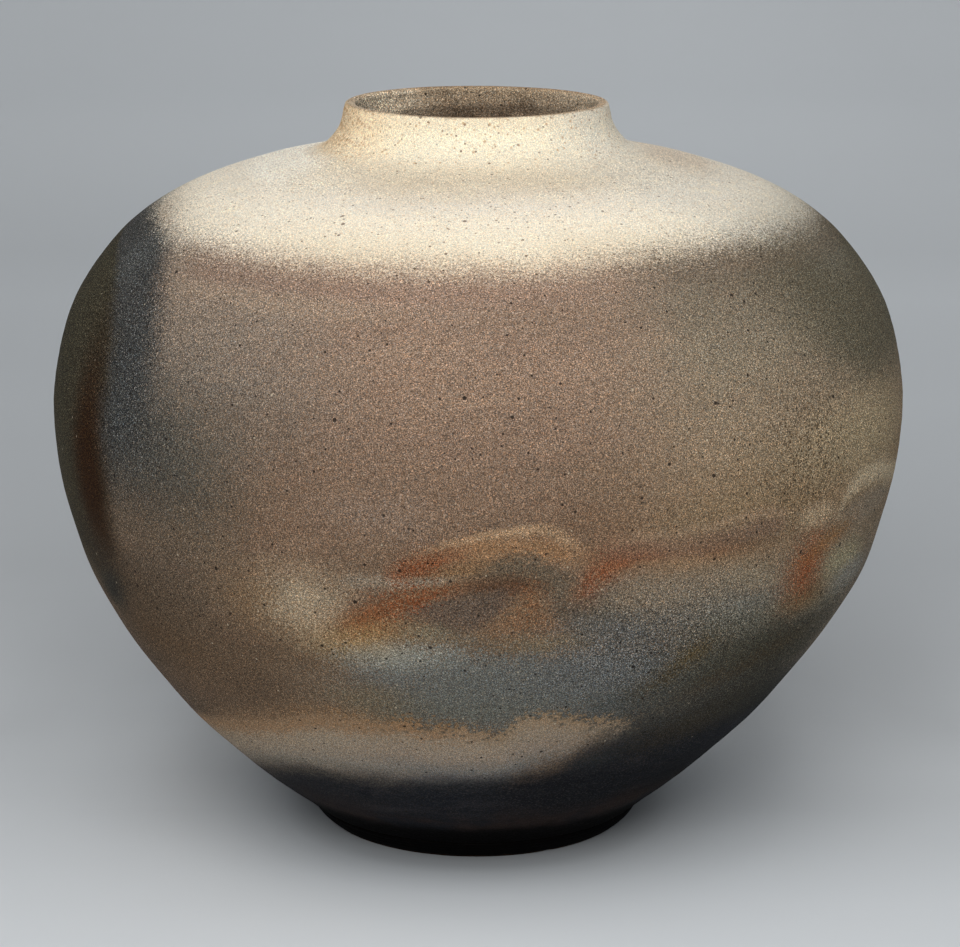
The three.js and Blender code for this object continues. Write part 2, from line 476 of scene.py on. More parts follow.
def dots(where, cell, radius, share, edge=0.35, shift=(0, 0, 0)):
    """Scattered grains: 1 inside a grain. share is how many of the cells hold one."""
    moved = vec("ADD", where, shift)
    n = nodes.new("ShaderNodeTexVoronoi")
    links.new(moved.socket, n.inputs["Vector"])
    n.inputs["Scale"].default_value = 1.0 / cell
    pick = nodes.new("ShaderNodeSeparateColor")
    links.new(n.outputs["Color"], pick.inputs[0])
    chosen = calc("LESS_THAN", V(pick.outputs[0]), share)
    size = mad(V(pick.outputs[1]), 0.9, 0.35)
    near = V(n.outputs["Distance"]) * cell / size
    return step(radius * (1 + edge), radius * (1 - edge), near) * chosen


def rgb(r, g, b):
    """A colour from its display values, 0 to 255."""
    c = np.array([r, g, b]) / 255.0
    c = np.where(c <= 0.04045, c / 12.92, ((c + 0.055) / 1.055) ** 2.4)
    return (float(c[0]), float(c[1]), float(c[2]), 1.0)


def blend(share, a, b):
    n = nodes.new("ShaderNodeMix")
    n.data_type = "RGBA"
    feed(share, n.inputs[0])
    for value, socket in ((a, n.inputs[6]), (b, n.inputs[7])):
        feed(value, socket)
    return V(n.outputs[2])


def mixf(share, a, b):
    """A number part of the way from a to b."""
    n = nodes.new("ShaderNodeMix")
    n.data_type = "FLOAT"
    feed(share, n.inputs[0])
    feed(a, n.inputs[2])
    feed(b, n.inputs[3])
    return V(n.outputs[0])


def curve(x, points, room=0.0):
    """A smooth graph through the points, read at x, level beyond its ends."""
    xs, ys = [p[0] for p in points], [p[1] for p in points]
    x0, x1, y0, y1 = min(xs), max(xs), min(ys) - room, max(ys) + room
    x = mad(x, 1.0 / (x1 - x0), -x0 / (x1 - x0))
    n = nodes.new("ShaderNodeFloatCurve")
    c = n.mapping.curves[0]
    n.mapping.extend = "HORIZONTAL"
    while len(c.points) < len(points):
        c.points.new(0.5, 0.5)
    for p, (px, py) in zip(c.points, sorted(points)):
        p.location = ((px - x0) / (x1 - x0), (py - y0) / (y1 - y0))
        p.handle_type = "AUTO_CLAMPED"
    n.mapping.update()
    feed(x, n.inputs["Value"])
    return mad(V(n.outputs[0]), y1 - y0, y0)


def ramp(x, stops):
    """Colours at heights, mixed evenly between them."""
    a, b = stops[0][0], stops[-1][0]
    x = mad(x, 1.0 / (b - a), -a / (b - a))
    n = nodes.new("ShaderNodeValToRGB")
    while len(n.color_ramp.elements) < len(stops):
        n.color_ramp.elements.new(0.5)
    for e, (at, colour_) in zip(n.color_ramp.elements, stops):
        e.position = (at - a) / (b - a)
        e.color = rgb(*colour_)
    feed(x, n.inputs[0])
    return V(n.outputs[0])


coord = nodes.new("ShaderNodeTexCoord")
mm = vec("SCALE", V(coord.outputs["Object"]), scale=1000.0)
xyz = nodes.new("ShaderNodeSeparateXYZ")
links.new(mm.socket, xyz.inputs[0])
X, Y, Z = (V(o) for o in xyz.outputs)
angle = calc("ARCTAN2", X, Y * -1.0) * 57.29578
tag = nodes.new("ShaderNodeAttribute")
tag.attribute_name = "inside"
inside = step(0.2, 0.9, V(tag.outputs["Fac"]))

# Shared noises: fine grain (three kinds), coarser grain (three kinds), mottling, slow drift
# and level wisps
fine, fine2, fine3 = noise(mm, 0.44, 0.0, 0.5, three=True)
grit, grit2, grit3 = noise(mm, 1.0, 0.0, 0.5, (31.0, 7.0, 3.0), three=True)
mott, mott2, mott3 = noise(mm, 9.0, 3.0, 0.6, (5.0, 50.0, 0.0), three=True)
drift, drift2, drift3 = noise(mm, 42.0, 3.0, 0.55, (80.0, 0.0, 20.0), three=True)
level = vec("MULTIPLY", mm, (1.0, 1.0, 4.0))
streak, streak2, streak3 = noise(level, 46.0, 4.0, 0.6, (10.0, 0.0, 60.0), three=True)
wisp, wisp2, wisp3 = noise(vec("MULTIPLY", mm, (1.0, 1.0, 2.6)), 17.0, 3.0, 0.6, (3.0, 71.0, 9.0), three=True)

# Warped angle and height, one degree counting as 3 mm: much bent for clouds, little for lines.
# The back has angles of its own, 0 at +Y, so that nothing breaks where the angle wraps round.
behind = calc("WRAP", angle + 180.0, 180.0, -180.0)
shift_a = drift * 5.0 + mott * 3.0
shift_z = drift2 * 11.0 + mott2 * 7.0
bent_a = angle + shift_a
bent_z = Z + shift_z
place = combine(bent_a * 3.0, bent_z)
near_a = angle + drift * 1.6 + mott * 1.2
near_z = Z + drift2 * 3.0 + mott2 * 3.5 + wisp * 3.0
place_near = combine(near_a * 3.0, near_z)
place_back = combine((behind + shift_a) * 3.0, bent_z)
near_back = behind + drift * 1.6 + mott * 1.2
# Angles that fall back to 0 behind the jar, for what differs between its left and its right
front_side = step(178.0, 104.0, size_of(angle))
turn_a = angle * front_side
turn_bent = bent_a * front_side
dust_kinds = (grit2, fine2, grit3, fine3)
dust_turn = [0]


def grains():
    """The next kind of grain, so that layers of dust don't lie on the same grains."""
    dust_turn[0] += 1
    return dust_kinds[dust_turn[0] % 4]


def cloud(at, height, wide, tall, turn=0.0, soft=0.55, dust=0.0, share=1.0, on=None):
    """A soft patch: centre angle and height, half sizes in degrees and millimetres, tilt in
    degrees (positive rises to the right). dust breaks it up into grains."""
    c, s = math.cos(math.radians(turn)), math.sin(math.radians(turn))
    off = vec("SUBTRACT", on or place, (at * 3.0, height, 0))
    across = vec("DOT_PRODUCT", off, (c / (wide * 3.0), s / (wide * 3.0), 0))
    up = vec("DOT_PRODUCT", off, (-s / tall, c / tall, 0))
    d = vec("LENGTH", combine(across, up))
    if dust:
        d = mad(grains(), dust, d)
    return step(1.0 + soft, 1.0 - soft, d, share)


def line(points, share=1.0, soft=0.6, dust=0.0, wisps=0.0, on=None):
    """A streak: (angle, height, half width, strength) along its middle."""
    a = on or near_a
    mid = curve(a, [(p[0], p[1]) for p in points], 1.0)
    half = curve(a, [(p[0], p[2]) for p in points], 0.5)
    much = curve(a, [(p[0], p[3]) for p in points], 0.001)
    d = size_of(near_z - mid) / half
    if dust:
        d = mad(grains(), dust, d)
    if wisps:
        d = mad(wisp2, wisps, d)
    return step(1.0 + soft, 1.0 - soft, d, share) * much


def lay(mask, tint):
    """Lay a colour over what is there."""
    global colour
    colour = blend(mask, colour, rgb(*tint) if isinstance(tint, tuple) else tint)


def rusty(mask, tint=(120, 58, 22)):
    """Iron red, in grains of rust with a few burnt ones among them."""
    lay(mask, tint)
    lay(mask * step(0.05, 0.16, grit3, 0.6), (60, 38, 26))


tight = place_near

# --- body colour, by height, in front, on the left and on the right --------------------
front = ramp(near_z, [(150, (108, 90, 72)), (198, (116, 95, 77)), (240, (125, 104, 87)), (266, (135, 113, 95)), (288, (136, 115, 98)), (302, (149, 128, 110))])
left = ramp(near_z, [(112, (95, 80, 66)), (178, (110, 94, 77)), (206, (95, 84, 70)), (232, (100, 91, 79)), (258, (117, 106, 94)), (295, (134, 119, 104))])
right = ramp(near_z, [(150, (118, 106, 90)), (200, (129, 109, 84)), (238, (136, 119, 98)), (272, (129, 117, 99)), (302, (116, 105, 90))])
colour = blend(high(step(-8.0, -37.0, bent_a) * step(222.0, 258.0, Z), step(-21.0, -39.0, bent_a)), front, left)
lay(step(10.0, 34.0, bent_a), right)
hind = ramp(near_z, [(130, (96, 84, 70)), (200, (118, 98, 79)), (245, (122, 104, 87)), (300, (140, 122, 104))])
lay(step(104.0, 140.0, size_of(angle) + drift3 * 30.0), hind)
lay(step(0.02, 0.22, streak, 0.20), (156, 132, 109))
lay(step(-0.02, -0.22, streak, 0.20), (98, 84, 70))
lay(step(-0.04, -0.2, streak2, 0.15), (120, 92, 77))
lay(cloud(-6, 302, 20, 8, 0.0, 0.8, 1.5, 0.5), (149, 127, 110))
lay(cloud(11, 291, 10, 9, 0.0, 0.9, 1.5, 0.6), (128, 108, 91))
lay(cloud(16, 221, 6, 12, 0.0, 0.9, 1.5, 0.5), (117, 98, 79))

# --- right-hand smoke: grey-olive under the shoulder -----------------------------------
smoke_low = curve(angle, [(30, 296), (45, 276), (54, 253), (70, 240), (150, 248)])
smoke = step(32.0, 62.0, bent_a) * step(160.0, 108.0, angle + drift3 * 40.0)
smoke = smoke * step(-18.0, 18.0, mad(step(72.0, 100.0, angle), drift3 * 90.0, bent_z - smoke_low + grit2 * 18.0), 0.95)
lay(smoke, (93, 87, 72))
lay(cloud(70, 298, 9, 8, 0.0, 0.8, 2.0, 0.5), (113, 107, 94))
lay(cloud(60, 221, 15, 17, 0.0, 0.8, 1.5, 0.7), (154, 139, 111))
pepper = dots(mm, 1.3, 0.58, 0.9, 0.3, (15.0, 33.0, 2.0))
lay(pepper * cloud(46, 220, 7, 27, 0.0, 0.9, 2.0, 0.85), (62, 46, 29))


# --- left-hand smoke: a dark arch edged with blue-grey ---------------------------------
back_edge = step(-158.0, -98.0, angle + drift3 * 44.0 + mott3 * 14.0)
lay(cloud(-42.5, 222, 8, 26, 0.0, 0.8, 3.0, 0.75), (78, 75, 68))
lay(cloud(-46, 160, 10, 30, 0.0, 0.8, 2.0, 0.5), (90, 78, 66))
arch = curve(near_z, [(120, -66), (140, -62), (165, -55), (190, -50), (215, -47), (235, -46), (255, -46.6), (266, -47.2), (280, -49.4),
                      (291, -52.5), (300, -55.8), (307, -60.5), (312, -69), (316, -84), (322, -100)])
past = arch - near_a + grit2 * 7.0
blue = mixf(step(215.0, 262.0, Z), step(-11.0, 7.0, past), step(-4.6, 3.6, past)) * back_edge
blue = blue * step(172.0, 234.0, bent_z + grit3 * 20.0, 0.95)
lay(blue, (62, 63, 62))
lay(cloud(-65, 298, 7, 13, 30.0, 0.8, 1.0, 0.6), (81, 82, 80))
arch_in = curve(near_z, [(120, -66), (134, -64), (158, -59), (180, -56.4), (200, -55.8), (228, -56.6), (248, -56.3), (260, -57), (270, -58.6), (280, -62.5), (288, -66.6), (297, -76), (304, -90), (320, -108)])
deep = step(-3.0, 2.6, arch_in - near_a + grit3 * 6.0 + mott3 * 4.0) * back_edge * step(120.0, 165.0, mad(step(-78.0, -110.0, angle), drift * 70.0 - 14.0, bent_z), 0.93)
lay(deep, blend(step(-58.0, -74.0, bent_a), rgb(58, 51, 38), rgb(64, 59, 45)))
lay(cloud(-60.3, 202, 4.6, 50, 3.0, 0.7, 1.0, 0.92, tight), (47, 28, 13))
lay(cloud(-62, 150, 5.0, 9, 20.0, 0.8, 1.0, 0.6), (58, 52, 44))
lay(cloud(-56, 138, 12, 27, 0.0, 0.8, 1.5, 0.7), (71, 59, 46))
lay(cloud(-68, 162, 6, 12, 0.0, 0.8, 1.0, 0.5), (50, 42, 33))
lay(cloud(-30, 236, 7, 14, 0.0, 0.9, 2.0, 0.45), (99, 90, 79))

# --- lower left: warm brown ------------------------------------------------------------
lay(cloud(-40, 122, 22, 26, 0.0, 0.8, 1.5, 0.7), (98, 80, 62))
lay(cloud(-21, 117, 7, 11, 0.0, 0.9, 3.0, 0.6), (119, 102, 84))
lay(cloud(-46, 104, 13, 7, 12.0, 0.9, 2.0, 0.5), (108, 88, 69))
lay(cloud(-33, 112, 7, 5, 10.0, 0.9, 2.0, 0.4), (86, 71, 57))
lay(cloud(-52, 123, 8, 9, 0.0, 0.9, 1.5, 0.5), (94, 74, 54))
lay(cloud(-62.6, 141, 4.5, 9, 20.0, 0.8, 1.0, 0.85), (51, 50, 45))

# --- fire clouds in the middle ---------------------------------------------------------
lay(cloud(-28.5, 161, 6.0, 13, 0.0, 0.9, 2.5, 0.6), (124, 100, 74))
lay(cloud(-21.5, 161, 5.4, 15, -6.0, 0.7, 1.8, 0.95), (158, 141, 117))
lay(cloud(-18.5, 143, 4.2, 7, 0.0, 0.9, 3.0, 0.75), (139, 118, 88))
lay(cloud(-24, 178, 5.0, 5, 10.0, 0.9, 2.5, 0.5), (134, 113, 92))
lay(cloud(-12, 206, 7, 9, 0.0, 0.9, 2.0, 0.5), (130, 112, 97))
lay(cloud(-1, 172, 16, 22, 6.0, 0.6, 1.0, 0.6), (116, 98, 80))
lay(cloud(-3, 181.5, 6, 5, 20.0, 0.9, 1.5, 0.7), (119, 91, 61))
lay(line([(-18, 174, 2, 0), (-14, 175.4, 3.2, 0.9), (-10, 176, 3.2, 1), (-6, 176.5, 2.4, 0.9), (-3, 178, 2, 0.4), (0, 179, 2, 0)], 0.85, 0.7, 1.2), (134, 121, 104))
lay(line([(-10, 184, 3, 0), (-6, 188, 4, 0.5), (-2, 191.5, 5, 0.9), (2, 193.5, 5.5, 1), (6, 193, 5.5, 1), (9, 191, 5.5, 1), (12, 188, 5, 0.7), (16, 185, 4, 0)], 0.85, 0.8, 1.2), (139, 107, 77))
lay(line([(-2, 176, 4, 0), (1, 178, 6, 0.7), (3.5, 181, 8, 1), (6, 182, 8, 1), (8.5, 177, 7, 0.9), (11, 173, 6, 0.7), (14, 170, 5, 0)], 0.9, 0.6, 1.4), (96, 85, 70))
lay(line([(-5, 172, 3, 0), (-2, 173.5, 3.5, 0.8), (1, 174, 5, 1), (4, 174, 5.5, 1), (7, 173, 5, 0.7), (10, 171, 4, 0)], 0.85, 0.7, 1.6), (87, 62, 44))
lay(line([(-10, 163, 3, 0), (-7.5, 162, 5, 0.7), (-4.5, 160, 8, 1), (-1, 161, 9.5, 1), (1.5, 164, 8.5, 1), (3.5, 168, 6, 0.6), (5.5, 171, 3, 0)], 0.95, 0.5, 1.4), (94, 80, 68))
lay(line([(8.5, 164, 5, 0), (11, 163, 8, 0.8), (14, 161, 10, 1), (17, 160, 9, 0.9), (20, 158, 6, 0.4), (23, 157, 4, 0)], 0.9, 0.7, 1.8), (88, 80, 68))
lay(line([(-2, 148, 2, 0), (0.5, 149.5, 4, 0.7), (3, 153, 7, 1), (5, 157, 11, 1), (6.5, 159.5, 12.5, 1), (8, 156, 9, 1), (10, 151, 5.5, 0.8), (12, 148, 3, 0)], 0.85, 0.5, 2.2), (121, 98, 75))
lay(cloud(-13.2, 152, 4.2, 6.0, 8.0, 0.6, 2.2, 0.85, tight), (134, 110, 81))
lay(cloud(-7, 151, 3.2, 4.2, 0.0, 0.7, 1.6, 0.85, tight), (117, 108, 88))
lay(cloud(-3.5, 147.5, 5.0, 3.0, 0.0, 0.8, 2.0, 0.6, tight), (116, 101, 80))
lay(line([(-13, 177, 2, 0), (-11, 179.2, 2.6, 0.5), (-9, 182, 3.6, 0.9), (-6.5, 185, 4.4, 1), (-3, 189.5, 3.6, 0.8), (1, 193, 2.6, 0)], 0.75, 0.8, 2.0), (122, 92, 69))
lay(line([(-19, 151, 3, 0), (-16, 155.5, 4, 0.7), (-13, 160, 4.6, 1), (-10, 165, 4.4, 1), (-6.5, 169.5, 3.6, 1), (-3, 173, 3, 0.7), (1, 175.5, 2.4, 0)], 0.8, 0.7, 2.0), (118, 89, 65))
lay(line([(10, 166, 3, 0), (12, 169, 4, 0.5), (14, 173, 5, 0.9), (15.6, 178, 5, 1), (18, 183, 4, 1), (21.6, 185.2, 3.2, 0.8), (26, 184.6, 2.6, 0.6), (31, 183.4, 2.6, 0.6), (40, 180, 2, 0)], 0.75, 0.8, 2.0), (123, 92, 67))
rusty(line([(-12, 177.5, 2, 0), (-10.4, 179.2, 2.4, 0.7), (-8.5, 181.8, 2.8, 1), (-6, 185, 2.8, 1), (-3.6, 188.2, 2.0, 0.5), (0, 192, 2, 0)], 0.75, 0.7, 13.0))
rusty(line([(-18, 152, 3, 0), (-15, 156.5, 3.4, 0.6), (-12, 161.5, 3.6, 0.8), (-9, 166, 2.9, 1), (-6, 170, 2.2, 0.9), (-1, 174, 1.6, 0)], 0.6, 0.7, 13.0))
rusty(line([(11, 166, 3, 0), (13, 170.5, 4, 0.6), (14.4, 174.5, 5.0, 1), (15.8, 179, 5.0, 1), (18, 183, 3.6, 1), (21.6, 185.2, 2.4, 1), (26, 184.8, 1.6, 0.6), (31, 183.6, 2.0, 0.9), (34, 182.8, 1.6, 0.3), (39, 181, 1.4, 0)], 0.85, 0.7, 13.0), (132, 60, 22))
rusty(line([(-1, 149, 3, 0), (2, 151, 4, 0.5), (5, 156, 8, 0.8), (6.6, 163, 7, 1), (8, 155, 7, 0.7), (10.5, 149, 4, 0.6), (13, 147, 3, 0)], 0.3, 0.7, 13.0), (136, 78, 38))
rusty(cloud(-14.4, 152, 3.2, 5.0, 8.0, 0.7, 12.0, 0.45, tight), (132, 80, 38))
lay(pepper * cloud(5, 163, 18, 22, 0.0, 0.7, 1.5, 0.32), (40, 31, 22))
lay(pepper * cloud(20, 150, 9, 17, -10.0, 0.9, 1.5, 0.6), (36, 33, 28))
lay(line([(-8, 190, 1.2, 0), (-5, 193, 1.4, 0.35), (-2, 196, 1.6, 0.55), (2, 199.4, 1.5, 0.8), (4.5, 200.8, 1.8, 1), (7.5, 201.4, 2.4, 1), (9.6, 198.8, 2.8, 1), (11.6, 194, 2.6, 0.5), (13, 191, 2, 0)], 0.85, 0.8, 1.2, 0.5), (158, 131, 102))
lay(cloud(14, 203, 6, 9, 0.0, 0.8, 2.0, 0.4), (110, 86, 65))


# --- to the right of the fire: two pale ridges with grey-mauve hollows under them -----------
lay(cloud(24, 167, 9, 8, 0.0, 0.8, 2.5, 0.75), (128, 115, 98))
lay(cloud(29, 180, 9, 4.6, 0.0, 0.8, 2.5, 0.6), (141, 114, 87))
lay(line([(14, 188, 3, 0), (20, 188, 4, 0.7), (28, 187.6, 4.6, 0.9), (34, 188.4, 5, 1), (38, 190, 5.5, 1), (40.6, 190, 5, 0.9), (42.6, 188, 4, 0)], 0.8, 0.7, 1.5), (112, 91, 75))
lay(cloud(36, 183, 6, 4.5, 0.0, 0.9, 2.0, 0.5), (108, 85, 64))
lay(cloud(26, 189, 4, 5, 0.0, 0.9, 2.0, 0.4), (128, 104, 82))
lay(line([(15, 192, 2, 0), (21, 194.4, 2.0, 0.6), (28, 195.2, 2, 0.6), (34, 197, 2.2, 0.8), (39, 198, 2.4, 1), (41, 195.6, 2.2, 0.8), (43, 190, 2, 0)], 0.65, 0.9, 2.0), (148, 124, 100))
lay(cloud(48.8, 189, 3.4, 5.2, 0.0, 0.7, 1.6, 0.9, tight), (162, 143, 116))
lay(cloud(64, 183.5, 8.5, 7.5, 0.0, 0.5, 1.0, 0.92, tight), (127, 114, 97))
lay(line([(53.4, 184, 4, 0), (55.0, 191, 4, 0.6), (57.2, 197.2, 4.4, 0.9), (61, 199.4, 4.6, 1), (66, 198.2, 4.8, 1), (70, 194.4, 5.4, 0.9), (76, 190, 5.4, 0.8), (92, 184, 5, 0.5), (110, 178, 4, 0)], 0.85, 0.95, 1.2), (176, 160, 133))


# --- blue-grey and slate clouds --------------------------------------------------------
lay(cloud(30, 156, 14, 8, 4.0, 0.7, 2.5, 0.75), (124, 114, 99))
lay(cloud(38.5, 166, 5, 5, 0.0, 0.9, 2.0, 0.5), (142, 129, 108))
lay(cloud(38, 148, 9, 8, 0.0, 0.7, 2.0, 0.75), (119, 117, 108))
lay(cloud(41, 121, 26, 24, 6.0, 0.55, 2.0, 0.95), (71, 70, 62))
lay(cloud(41, 143, 9, 7, 0.0, 0.8, 2.0, 0.6), (104, 100, 87))
lay(cloud(41, 126, 7, 9, 0.0, 0.8, 2.0, 0.5), (84, 79, 65))
lay(cloud(50, 118, 13, 15, 0.0, 0.8, 1.5, 0.8), (60, 57, 47))
lay(cloud(59, 159, 6, 9, -10.0, 0.8, 1.5, 0.85, tight), (144, 136, 109))
lay(cloud(63, 148, 6, 7, 0.0, 0.8, 1.5, 0.85, tight), (126, 123, 114))
lay(cloud(57, 141, 5, 5, 0.0, 0.8, 1.5, 0.5), (110, 105, 90))
lay(cloud(18.5, 149, 7.5, 6.5, 0.0, 0.8, 3.0, 0.85), (90, 89, 85))
lay(cloud(3, 118, 19, 23, 0.0, 0.4, 1.6, 0.95), (101, 101, 95))
lay(cloud(18, 128, 10, 15, 0.0, 0.7, 2.0, 0.85), (101, 101, 98))
lay(cloud(20.5, 106, 6, 9, 0.0, 0.8, 2.0, 0.75), (78, 81, 79))
lay(cloud(8, 144, 5, 4, 0.0, 0.9, 2.0, 0.5), (122, 106, 80))
lay(cloud(-10.4, 138, 6.8, 7.0, 3.0, 0.75, 1.6, 0.95, tight), (132, 131, 121))
lay(cloud(-14.2, 145, 3.0, 5, 0.0, 0.8, 6.0, 0.5, tight), (160, 128, 82))
lay(cloud(-1, 133, 6, 5, 0.0, 0.9, 1.6, 0.5), (110, 110, 104))
lay(cloud(-12.4, 129, 4, 6, 0.0, 0.9, 2.0, 0.4), (104, 108, 106))
lay(cloud(-15, 110, 5, 10, 0.0, 0.9, 3.0, 0.7), (110, 98, 76))
lay(cloud(-4, 106, 12, 8, 0.0, 0.9, 2.0, 0.5), (97, 96, 86))
lay(line([(20, 108, 2, 0), (24, 113, 3.4, 0.7), (28, 120, 4, 1), (31, 130, 4.4, 0.9), (35, 138, 3, 0)], 0.6, 0.9, 9.0, 2.0), (70, 56, 30))
lay(cloud(30.5, 130, 2.2, 4.0, 30.0, 0.9, 9.0, 0.3, tight), (116, 94, 46))
lay(line([(30, 104, 2, 0), (36, 108, 4, 0.9), (46, 117, 4, 0.7), (54, 125, 4, 0.5), (62, 132, 3, 0)], 0.55, 0.9, 9.0, 2.0), (78, 60, 36))
lay(cloud(50.5, 147, 5.0, 7.0, 0.0, 0.8, 3.0, 0.75, tight), (118, 97, 68))
lay(cloud(49.0, 162, 3.0, 11.0, 0.0, 0.9, 2.5, 0.7, tight), (126, 97, 69))
rusty(cloud(48.9, 164, 1.9, 8.0, 0.0, 0.8, 11.0, 0.7, tight), (146, 66, 22))
lay(cloud(53, 174, 4.4, 4.0, 20.0, 0.9, 3.5, 0.65, tight), (132, 94, 56))
lay(pepper * cloud(36, 132, 26, 28, 0.0, 0.5, 1.5, 0.4), (34, 28, 18))


# --- the back: the same kinds of cloud, in other places ---------------------------------------
lay(cloud(-46, 268, 26, 26, 10.0, 0.8, 2.0, 0.55, place_back), (94, 88, 76))
lay(cloud(38, 236, 22, 30, -8.0, 0.8, 1.5, 0.5, place_back), (140, 122, 98))
lay(cloud(4, 176, 34, 13, -6.0, 0.8, 2.5, 0.6, place_back), (134, 114, 90))
lay(cloud(-22, 166, 16, 9, 8.0, 0.8, 2.5, 0.75, place_back), (96, 82, 68))
lay(cloud(30, 150, 26, 15, 4.0, 0.7, 2.5, 0.8, place_back), (104, 102, 94))
lay(cloud(-34, 126, 34, 22, 5.0, 0.6, 2.0, 0.85, place_back), (80, 77, 69))
lay(cloud(16, 118, 30, 20, -4.0, 0.6, 2.0, 0.7, place_back), (98, 97, 91))
rusty(line([(-44, 176, 3, 0), (-34, 183, 4, 0.8), (-24, 187, 4.6, 1), (-12, 184, 4, 0.8), (2, 186, 3, 0.4), (14, 190, 3, 0)], 0.85, 0.8, 7.0, 2.0, near_back))
rusty(line([(10, 160, 3, 0), (18, 166, 4, 0.8), (26, 170, 4.6, 1), (34, 169, 3.6, 0.6), (46, 172, 3, 0)], 0.8, 0.8, 7.0, 2.0, near_back), (122, 68, 34))
lay(line([(-30, 196, 2, 0), (-18, 199, 2.4, 0.7), (-4, 197, 2.8, 1), (10, 200, 2.6, 0.8), (26, 203, 2.4, 0)], 0.7, 0.9, 2.0, 1.0, near_back), (152, 128, 102))

# --- foot of the wall: ash-buff band over smoke-black ----------------------------------
sooty = curve(angle, [(-180, 62), (-120, 58), (-80, 48), (-60, 52), (-40, 60), (-20, 63), (0, 63), (14, 74), (20, 92), (26, 101), (34, 104), (45, 106), (70, 102), (100, 86), (140, 70), (180, 62)])
soot = step(16.0, -14.0, near_z - sooty + grit2 * 14.0 + mott3 * 10.0)
lay(soot * step(15.0, 26.0, near_a + mott3 * 8.0) * step(150.0, 100.0, angle), blend(step(66.0, 92.0, near_z), rgb(38, 36, 34), rgb(60, 59, 55)))
lay(cloud(49, 96, 11, 14, 8.0, 0.8, 2.0, 0.55), (43, 41, 33))
# A darker patch low on the right flank: painted shade towards the jar's edge.
lay(cloud(60, 81, 10, 13, 0.0, 0.8, 1.5, 0.6), (33, 31, 26))
top_line = curve(angle, [(-180, 84), (-140, 76), (-100, 69), (-80, 66), (-60, 73.5), (-48.6, 80), (-40, 86), (-32, 92), (-23, 98.5), (-18, 99), (-12, 100), (-6.5, 97.5), (-1, 97),
                         (2.6, 94.5), (5.5, 99.5), (8, 105.2), (12, 104.6), (15.7, 99.4), (19, 98.4), (23.5, 95.5), (29, 84), (36, 74), (60, 60), (120, 72), (180, 84)])
inky = curve(angle, [(-180, 54), (-120, 50), (-80, 38), (-60, 42), (-48, 50), (-36, 58), (-30, 59.6), (-20, 59), (0, 60.5), (10, 64.5), (16, 71), (22, 79), (30, 80), (45, 76), (80, 70), (120, 58), (180, 54)])
rag, rag2, rag3 = noise(mm, 4.2, 3.0, 0.75, (3.0, 9.0, 70.0), three=True)
ragged = step(-26.0, -8.0, angle) * step(40.0, 24.0, angle)
above = Z - top_line
edge_z = above + rag * mad(ragged, 17.0, 5.0) + grit * 3.0
band = mixf(ragged, step(2.6, -2.6, edge_z + grit * 6.0), step(0.45, -0.45, edge_z))
part = (near_z - inky) / (top_line - inky)
buff = ramp(part, [(0.0, (66, 65, 63)), (0.12, (98, 94, 90)), (0.28, (119, 114, 107)), (0.5, (142, 127, 111)), (0.75, (148, 132, 112)), (1.0, (144, 123, 98))])
buff = blend(step(-0.05, 0.25, streak, 0.35), buff, rgb(156, 142, 124))
buff = blend(step(-8.0, -30.0, turn_a, 0.4), buff, rgb(160, 144, 122))
reach = step(5.5, -5.5, near_a - 19.5 + above * -0.36 + mott3 * 8.0 + grit3 * 12.0 - 3.4)
reach = high(reach, step(120.0, 150.0, angle + drift * 30.0))
crumbs = dots(mm, 2.2, 1.0, 0.8, 0.25, (44.0, 12.0, 30.0))
lay(crumbs * step(10.0, 1.0, above + rag2 * 20.0) * step(-34.0, -24.0, angle) * step(2.0, -6.0, angle) * 0.8, (141, 103, 64))
lay(step(14.0, -1.0, above + grit3 * 14.0, 0.75) * step(-62.0, -44.0, angle) * step(-10.0, -22.0, angle), (134, 108, 82))
islands = dots(mm, 2.0, 1.0, 0.8, 0.2, (71.0, 8.0, 19.0)) * step(6.5, 0.5, above + rag3 * 18.0) * ragged * reach
lay(islands * 0.85, (134, 110, 82))
lay(band * reach, buff)
rim = band * step(-12.0, -2.0, edge_z + mott3 * 6.0 + grit2 * 12.0)
lay(rim * reach * mad(step(6.0, -10.0, turn_a), 0.55, 0.15), (140, 106, 74))
holes = dots(mm, 2.6, 1.05, 0.75, 0.25, (7.0, 3.0, 5.0)) * step(-11.0, -1.0, edge_z + mott2 * 14.0) * ragged
lay(holes * band * 0.8, (82, 78, 68))
ink = step(12.0, -9.0, near_z - inky + grit2 * 10.0 + mott3 * 6.0, 0.97)
lay(ink, (27, 29, 34))
lay(ink * step(0.0, 0.16, streak3, 0.6), (50, 48, 50))
lay(ink * step(0.05, 0.2, wisp3, 0.6), (17, 19, 26))
lay(ink * step(-10.0, 18.0, near_a, 0.7) * step(160.0, 110.0, angle) * step(74.0, 58.0, near_z), (17, 18, 21))
lay(cloud(21, 74, 5, 4.5, 12.0, 0.9, 3.0, 0.6), (47, 49, 48))
lay(cloud(46, 35, 12, 8, 0.0, 0.9, 2.0, 0.7), (28, 18, 12))
lay(cloud(38, 85, 9, 10, 14.0, 0.9, 3.0, 0.55), (54, 47, 35))
lay(ink * step(0.05, 0.2, grit2, 0.45), (60, 58, 56))
lay(cloud(52, 47, 14, 9, 0.0, 0.8, 1.0, 0.5), (20, 20, 23))
lay(step(46.0, 26.0, Z + drift2 * 18.0 + mott2 * 10.0, 0.75) * step(-70.0, -30.0, turn_a), blend(step(-0.12, 0.12, drift3 + wisp * 0.5), rgb(27, 28, 32), rgb(46, 36, 32)))
lay(step(28.0, 19.0, Z + mott2 * 8.0), (4, 3, 3))
# A thin brown line along the standing edge: bare clay, partly a painted highlight where the edge catches light.
lay(step(1.5, 0.5, Z + mott3 * 1.6, 0.8), (66, 46, 32))

